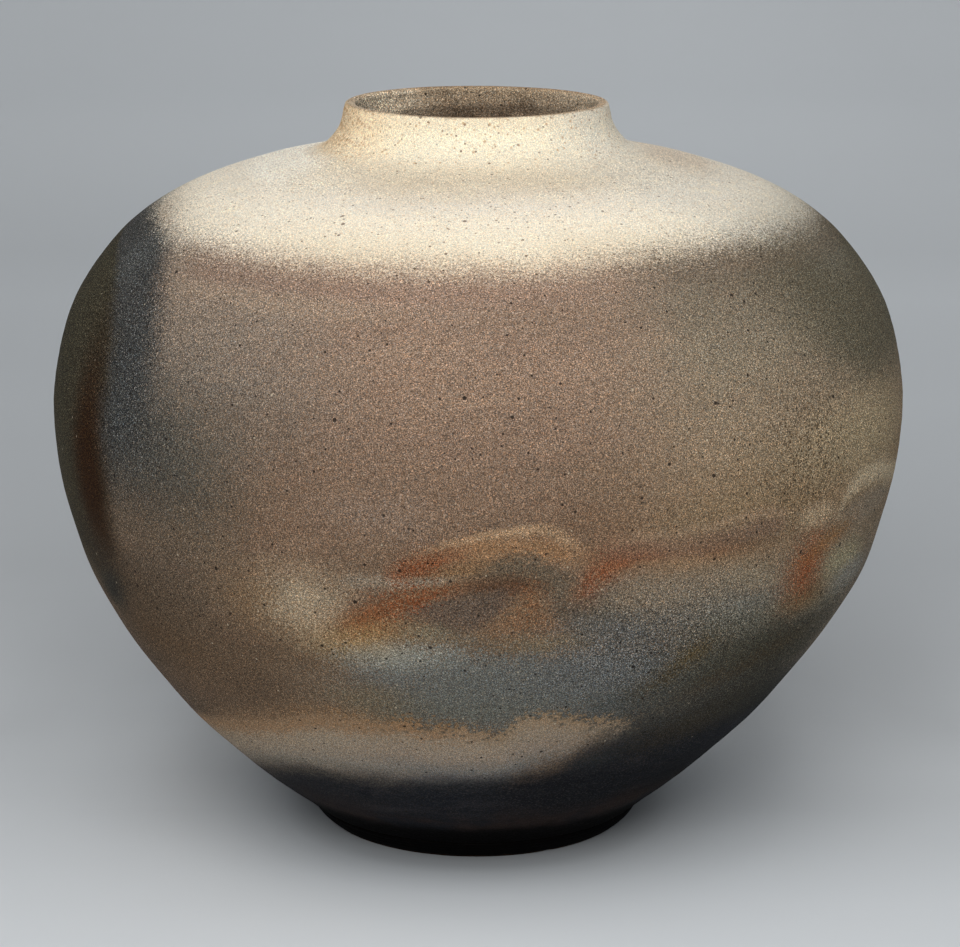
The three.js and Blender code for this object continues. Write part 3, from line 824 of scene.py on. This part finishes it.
# --- cream shoulder and neck -----------------------------------------------------------
cream = ramp(near_z, [(308, (216, 198, 172)), (316, (230, 216, 191)), (324, (242, 230, 208)), (329, (233, 222, 204)), (336, (214, 199, 175)), (346, (231, 219, 194)), (354, (239, 227, 200)), (361, (230, 215, 187))])
cream = blend(step(-20.0, -60.0, turn_bent) * step(338.0, 348.0, Z, 0.85), cream, rgb(249, 225, 186))
cream = blend(step(-20.0, -50.0, turn_bent) * step(342.0, 334.0, Z, 0.6), cream, rgb(237, 227, 208))
cream = blend(step(-48.0, -80.0, turn_bent + mott * 10.0) * step(338.0, 346.0, Z) * step(0.12, -0.06, grit2, 0.6), cream, rgb(206, 166, 120))
cream = blend(step(18.0, 56.0, turn_bent, 0.7), cream, rgb(220, 213, 198))
cream = blend(step(40.0, 62.0, turn_bent) * step(326.0, 316.0, Z, 0.6), cream, rgb(192, 186, 171))
neck_foot = step(329.0, 334.0, Z) * step(342.0, 338.0, Z)
cream = blend(neck_foot * step(58.0, 84.0, turn_bent, 0.6), cream, rgb(203, 184, 162))
cream = blend(neck_foot * step(-48.0, -66.0, turn_bent, 0.7), cream, rgb(247, 241, 226))
cream = blend(step(0.0, 0.25, streak, 0.3), cream, rgb(247, 236, 213))
cream = blend(step(0.0, -0.25, streak, 0.3), cream, rgb(218, 203, 180))
cream = blend(step(0.02, 0.2, mott3, 0.3), cream, rgb(246, 232, 202))
edge_c = curve(angle, [(-180, 308), (-120, 310), (-84, 317.5), (-66, 314), (-52, 310.8), (-34, 309.6), (0, 308.3), (20, 310.3), (45, 312.8), (60, 312), (80, 312), (120, 310), (180, 308)])
over = Z - edge_c + drift * 3.0 + mott2 * 3.0 + streak2 * 3.5
mauve = step(-18.0, -8.0, over) * step(-54.0, -44.0, turn_a)
lay(mauve * mad(step(30.0, -4.0, turn_a), 0.45, 0.12), (139, 114, 98))
lay(step(-24.0, -18.0, over) * step(-11.0, -15.0, over, 0.5) * step(-54.0, -44.0, angle) * step(-8.0, -18.0, angle), (150, 131, 112))
veil = step(-7.5, 6.5, over + fine2 * 12.0 + grit * 10.0)
lay(veil, cream)

# --- inside of the neck and the bare clay within, with painted shade down in the neck ---
# The bare clay's colour by height, with painted shade darkening the inner wall from the lip down into the neck, darkest
# near 332 mm.
inner = ramp(Z, [(8, (6, 5, 4)), (16, (12, 10, 8)), (26, (96, 84, 72)), (300, (80, 63, 50)), (332, (62, 48, 36)), (342, (104, 87, 72)), (352, (136, 118, 98)), (363, (170, 150, 124))])
paler = high(step(18.0, 50.0, behind + mott * 20.0) * step(330.0, 352.0, Z, 0.95), step(-22.0, -72.0, behind + mott * 20.0) * step(318.0, 338.0, Z, 0.95))
inner = blend(paler * step(176.0, 120.0, size_of(behind)), inner, blend(step(-20.0, 20.0, behind), rgb(226, 205, 176), rgb(236, 218, 190)))
inner = blend(step(0.0, 0.2, mott2 + grit2, 0.4) * step(26.0, 60.0, Z), inner, rgb(180, 158, 131))
inner = blend(step(0.0, -0.22, mott2 + grit3, 0.5) * step(26.0, 60.0, Z), inner, rgb(84, 66, 51))
lay(inside, inner)
lip = step(361.8, 363.3, Z + mott * 1.6 + grit2 * 2.0)
lay(lip * 0.6, (150, 122, 92))

# --- grain of the clay and iron specks ----------------------------------------------------
pale = veil * (1.0 - inside)
salt = cloud(25, 138, 13, 24, 6.0, 0.8)
strength = (3.3 + salt * 1.8 + step(18.0, 62.0, size_of(angle), 1.3) + blue * 2.6 - band * 1.1) * mad(pale, -0.63, 1.0) * mad(inside, -0.2, 1.0) * mad(neck_foot, 0.5, 1.0)
tone = (fine + grit * 0.22) * strength - strength * strength * 0.0067 + 0.03 - step(-0.1, -0.24, fine2, 0.3) * (1.0 - pale)
warm = fine3 * mad(pale, -0.28, 0.68)
colour = vec("MULTIPLY", colour, combine(calc("EXPONENT", tone + warm), calc("EXPONENT", tone), calc("EXPONENT", tone - warm)))
iron = high(dots(mm, 7.0, 0.8, 0.35, 0.2), dots(mm, 4.6, 0.52, 0.9, 0.2, (9.0, 4.0, 1.0)))
lay(iron * mad(pale, -0.1, 0.9), blend(pale, rgb(30, 25, 22), rgb(98, 70, 47)))
lay(dots(mm, 3.3, 0.5, 0.85, 0.25, (2.0, 40.0, 21.0)) * pale * 0.7, (122, 90, 60))
freckle = dots(mm, 2.7, 0.6, 0.8, 0.4, (22.0, 4.0, 11.0)) * pale
lay(freckle * mad(step(336.0, 346.0, Z), 0.35, 0.35), (190, 152, 108))
scorch = dots(mm, 2.0, 0.85, 0.85, 0.4, (51.0, 14.0, 8.0)) * pale * step(-34.0, -58.0, turn_a) * step(337.0, 343.0, Z)
lay(scorch * 0.6, (184, 136, 90))
# Sparse pale specks on the darker zones: light grains of the clay, partly painted glints.
lay(dots(mm, 7.0, 0.45, 0.7, 0.25, (60.0, 14.0, 5.0)) * (1.0 - pale) * step(60.0, 90.0, Z, 0.7), (196, 182, 158))

links.new(colour.socket, shader.inputs["Base Color"])
rough = 0.78 + grit * 0.25 + pale * 0.06
links.new(rough.socket, shader.inputs["Roughness"])
shader.inputs["Specular IOR Level"].default_value = 0.04
peel = noise(mm, 2.3, 2.0, 0.55, (44.0, 2.0, 8.0))
bump = nodes.new("ShaderNodeBump")
bump.inputs["Strength"].default_value = 0.35
bump.inputs["Distance"].default_value = 0.0004
links.new((peel + grit * 0.8).socket, bump.inputs["Height"])
links.new(bump.outputs[0], shader.inputs["Normal"])

for ob in pieces:
    ob.data.materials.append(stone)

# ---------------------------------------------------------------------------
# Stage: a pale round floor that sweeps up far away, with painted light and shade in its colour, soft studio light, the
# camera
# ---------------------------------------------------------------------------

floor_mesh = bpy.data.meshes.new("floor")
fr = [0.0] + list(np.linspace(0.1, 3.2, 32)) + [3.2 + 1.6 * math.sin(a) for a in np.linspace(0.1, math.pi / 2, 14)] + [4.8]
fz = [0.0] * 33 + [1.6 - 1.6 * math.cos(a) for a in np.linspace(0.1, math.pi / 2, 14)] + [4.5]
m = 96
fv = [(0, 0, 0)]
for r, z in list(zip(fr, fz))[1:]:
    fv += [(r * math.cos(2 * math.pi * k / m), r * math.sin(2 * math.pi * k / m), z) for k in range(m)]
ff = [(0, 1 + k, 1 + (k + 1) % m) for k in range(m)]
for i in range(len(fr) - 2):
    a, b = 1 + i * m, 1 + (i + 1) * m
    ff += [(a + k, b + k, b + (k + 1) % m, a + (k + 1) % m) for k in range(m)]
floor_mesh.from_pydata(fv, [], ff)
floor_mesh.polygons.foreach_set("use_smooth", [True] * len(floor_mesh.polygons))
floor = bpy.data.objects.new("floor", floor_mesh)
bpy.context.scene.collection.objects.link(floor)
paper = bpy.data.materials.new("floor_paper")
paper.use_nodes = True
bs = paper.node_tree.nodes["Principled BSDF"]
where = paper.node_tree.nodes.new("ShaderNodeTexCoord")
split = paper.node_tree.nodes.new("ShaderNodeSeparateXYZ")
paper.node_tree.links.new(where.outputs["Object"], split.inputs[0])
far = paper.node_tree.nodes.new("ShaderNodeVectorMath")
far.operation = "LENGTH"
paper.node_tree.links.new(where.outputs["Object"], far.inputs[0])


def shade(socket, stops, tint=(1.0, 1.0, 1.0)):
    """A greyscale of painted light and shade on the paper, along a coordinate in metres."""
    a, b = stops[0][0], stops[-1][0]
    span = paper.node_tree.nodes.new("ShaderNodeMapRange")
    span.inputs["From Min"].default_value, span.inputs["From Max"].default_value = a, b
    paper.node_tree.links.new(socket, span.inputs["Value"])
    out = paper.node_tree.nodes.new("ShaderNodeValToRGB")
    while len(out.color_ramp.elements) < len(stops):
        out.color_ramp.elements.new(0.5)
    for e, (at, k) in zip(out.color_ramp.elements, stops):
        e.position = (at - a) / (b - a)
        e.color = (tint[0] * k, tint[1] * k, tint[2] * k, 1)
    paper.node_tree.links.new(span.outputs[0], out.inputs[0])
    return out.outputs[0]


# Multiplies a table of painted light and shade into the paper's grey where the mask is set.
def paint_light_and_shade(a, b, where_=None):
    n = paper.node_tree.nodes.new("ShaderNodeMix")
    n.data_type = "RGBA"
    n.blend_type = "MULTIPLY"
    n.inputs[0].default_value = 1.0
    if where_ is not None:
        paper.node_tree.links.new(where_, n.inputs[0])
    paper.node_tree.links.new(a, n.inputs[6])
    paper.node_tree.links.new(b, n.inputs[7])
    return n.outputs[2]


# Painted light and shade on the floor: fall-off along the view, painted contact shadow round the foot, painted shade
# from left to right, painted light and shade in the jar's lee, a painted sheen beside it, painted light on the front
# left, and painted shade across the top
PAINTED_FALLOFF = [(-0.3, 0.935), (-0.18, 0.925), (-0.07, 0.88), (0.01, 0.865), (0.09, 0.915), (0.18, 0.93), (0.27, 0.885), (0.38, 0.85), (0.48, 0.845), (0.63, 0.89), (0.97, 1.03), (1.42, 1.09), (1.7, 1.02)]
PAINTED_CONTACT_SHADOW = [(0.06, 0.58), (0.078, 0.62), (0.09, 0.72), (0.1, 0.86), (0.112, 0.93), (0.13, 0.98), (0.16, 1.0), (0.2, 1.0)]
PAINTED_SIDE_SHADE = [(-0.5, 0.90), (-0.3, 0.905), (-0.1, 0.93), (0.1, 0.95), (0.3, 0.975), (0.5, 0.985)]
PAINTED_LEE_LIGHT_AND_SHADE = [(0.085, 1.0), (0.105, 1.03), (0.125, 1.07), (0.15, 1.1), (0.175, 1.08), (0.2, 1.03), (0.24, 0.97), (0.29, 0.92), (0.36, 0.93), (0.46, 0.96), (0.7, 1.0)]
PAINTED_SHEEN = [(0.0, 1.18), (0.16, 1.18), (0.18, 1.15), (0.2, 1.09), (0.22, 1.05), (0.24, 1.0), (0.26, 0.97), (0.3, 0.97), (0.4, 1.0)]
PAINTED_FRONT_LIGHT = [(-0.25, 1.01), (-0.17, 1.05), (-0.13, 1.08), (-0.08, 1.05), (0.0, 1.0), (0.08, 0.99), (0.25, 0.955)]
PAINTED_BACKDROP_SHADE = [(-0.62, 0.98), (-0.3, 1.0), (0.0, 1.0), (0.2, 0.98), (0.4, 0.955), (0.62, 0.925)]
grey = shade(split.outputs[1], PAINTED_FALLOFF, (0.79, 0.822, 0.849))
grey = paint_light_and_shade(grey, shade(far.outputs["Value"], PAINTED_CONTACT_SHADOW))
back = paper.node_tree.nodes.new("ShaderNodeMapRange")
back.inputs["From Min"].default_value, back.inputs["From Max"].default_value = 0.2, 0.45
paper.node_tree.links.new(split.outputs[1], back.inputs["Value"])
grey = paint_light_and_shade(grey, shade(split.outputs[0], PAINTED_SIDE_SHADE), back.outputs[0])
beside = paper.node_tree.nodes.new("ShaderNodeMapRange")
beside.inputs["From Min"].default_value, beside.inputs["From Max"].default_value = -0.01, 0.12
paper.node_tree.links.new(split.outputs[1], beside.inputs["Value"])
grey = paint_light_and_shade(grey, shade(far.outputs["Value"], PAINTED_LEE_LIGHT_AND_SHADE), beside.outputs[0])
across = paper.node_tree.nodes.new("ShaderNodeMath")
across.operation = "ABSOLUTE"
paper.node_tree.links.new(split.outputs[0], across.inputs[0])
close = paper.node_tree.nodes.new("ShaderNodeMapRange")
close.inputs["From Min"].default_value, close.inputs["From Max"].default_value = 0.42, 0.2
paper.node_tree.links.new(split.outputs[1], close.inputs["Value"])
flank = paper.node_tree.nodes.new("ShaderNodeMath")
flank.operation = "MULTIPLY"
paper.node_tree.links.new(beside.outputs[0], flank.inputs[0])
paper.node_tree.links.new(close.outputs[0], flank.inputs[1])
grey = paint_light_and_shade(grey, shade(across.outputs[0], PAINTED_SHEEN), flank.outputs[0])
front = paper.node_tree.nodes.new("ShaderNodeMapRange")
front.inputs["From Min"].default_value, front.inputs["From Max"].default_value = 0.05, 0.0
paper.node_tree.links.new(split.outputs[1], front.inputs["Value"])
fore = paper.node_tree.nodes.new("ShaderNodeMapRange")
fore.inputs["From Min"].default_value, fore.inputs["From Max"].default_value = -0.14, -0.06
paper.node_tree.links.new(split.outputs[1], fore.inputs["Value"])
both = paper.node_tree.nodes.new("ShaderNodeMath")
both.operation = "MULTIPLY"
paper.node_tree.links.new(front.outputs[0], both.inputs[0])
paper.node_tree.links.new(fore.outputs[0], both.inputs[1])
grey = paint_light_and_shade(grey, shade(split.outputs[0], PAINTED_FRONT_LIGHT), both.outputs[0])
above_ = paper.node_tree.nodes.new("ShaderNodeMapRange")
above_.inputs["From Min"].default_value, above_.inputs["From Max"].default_value = 1.5, 2.4
paper.node_tree.links.new(split.outputs[1], above_.inputs["Value"])
grey = paint_light_and_shade(grey, shade(split.outputs[0], PAINTED_BACKDROP_SHADE), above_.outputs[0])
paper.node_tree.links.new(grey, bs.inputs["Base Color"])
bs.inputs["Roughness"].default_value = 0.9
bs.inputs["Specular IOR Level"].default_value = 0.0
floor.data.materials.append(paper)


def area(name, loc, target, size, power, colour=(1, 1, 1)):
    data = bpy.data.lights.new(name, "AREA")
    data.shape = "RECTANGLE"
    data.size, data.size_y = size
    data.energy = power
    data.color = colour
    ob = bpy.data.objects.new(name, data)
    bpy.context.scene.collection.objects.link(ob)
    ob.location = loc
    d = np.array(target, float) - np.array(loc, float)
    from mathutils import Vector
    ob.rotation_euler = Vector(d).to_track_quat("-Z", "Y").to_euler()
    return ob


def around(azimuth, elevation, distance):
    a, e = math.radians(azimuth), math.radians(elevation)
    return (distance * math.sin(a) * math.cos(e), -distance * math.cos(a) * math.cos(e), 0.18 + distance * math.sin(e))


area("soft_high", around(-1, 62, 2.1), (0, 0, 0.18), (1.5, 1.3), 10.6)
area("soft_mid", around(-4, 45, 2.3), (0, 0, 0.18), (1.5, 1.2), 14.2)
area("soft_low", around(-7, 25, 2.5), (0, 0, 0.18), (1.5, 1.0), 21.5)
area("soft_side", around(60, 35, 2.3), (0, 0, 0.18), (1.0, 1.4), 3.6)
area("soft_left", around(-62, 35, 2.3), (0, 0, 0.18), (1.0, 1.4), 1.0)
# A fill for the back of the jar, which the other lights leave dark
jar_only = bpy.data.collections.new("jar_only")
for ob in pieces:
    jar_only.objects.link(ob)
soft_back = area("soft_back", around(180, 4, 2.2), (0, 0, 0.18), (0.6, 0.5), 14.0)
soft_back.visible_camera = False
soft_back.light_linking.receiver_collection = jar_only
backdrop = area("backdrop", (0.1, 2.3, 2.3), (0.1, 3.3, 0.2), (3.6, 1.2), 9.5)
backdrop.data.spread = math.radians(115)

world = bpy.data.worlds.new("world")
bpy.context.scene.world = world
world.use_nodes = True
world.node_tree.nodes["Background"].inputs["Color"].default_value = (1.0, 1.0, 1.0, 1)
world.node_tree.nodes["Background"].inputs["Strength"].default_value = 0.204

cam_data = bpy.data.cameras.new("camera")
cam_data.sensor_width = 36.0
cam_data.lens = 117.107
cam_data.clip_start, cam_data.clip_end = 0.01, 100
cam = bpy.data.objects.new("camera", cam_data)
bpy.context.scene.collection.objects.link(cam)
cam.location = (0.0012, -1.5266, 0.5473)
cam.rotation_euler = (math.radians(90 - 13.683), 0, 0)
bpy.context.scene.camera = cam
bpy.context.scene.view_settings.view_transform = "Standard"
